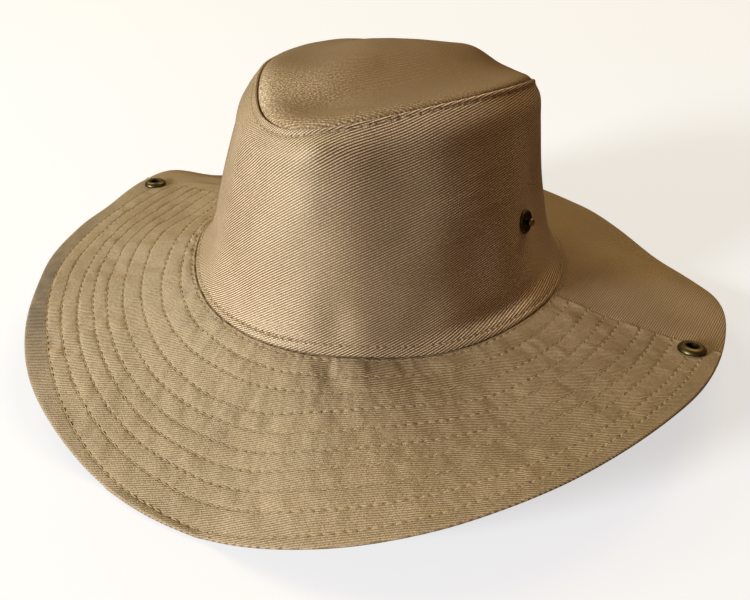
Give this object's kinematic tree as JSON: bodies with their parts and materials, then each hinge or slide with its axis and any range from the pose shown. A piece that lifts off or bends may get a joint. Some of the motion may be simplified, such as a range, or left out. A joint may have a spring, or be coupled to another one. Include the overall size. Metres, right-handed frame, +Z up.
{
  "type": "safari hat",
  "caption": "Cloth sun hat with a tall flat-fronted crown, a wide stitched brim with a drooping front and back, and brass snaps that hold the brim's sides up.",
  "frame": {"origin": "on the floor that the hat rests on, under the middle of its rim", "axes": "+Z is up, -Y is the hat's front, +X is the wearer's left"},
  "size_m": [0.33, 0.3486, 0.1286],
  "materials": {
    "twill_crown": "tan cotton twill, diagonal rib",
    "twill_tip": "tan cotton twill, diagonal rib",
    "twill_brim": "tan cotton twill, rows of stitching",
    "twill_back": "tan cotton twill, plain",
    "antique_brass": "darkened antique brass"
  },
  "bodies": {
    "root": {"crown_side": "twill_crown", "crown_tip": "twill_tip", "brim_front": "twill_brim", "brim_back": "twill_back", "snap_socket_left": "antique_brass", "snap_socket_right": "antique_brass", "snap_stud_left": "antique_brass", "snap_stud_right": "antique_brass"}
  },
  "joints": []
}
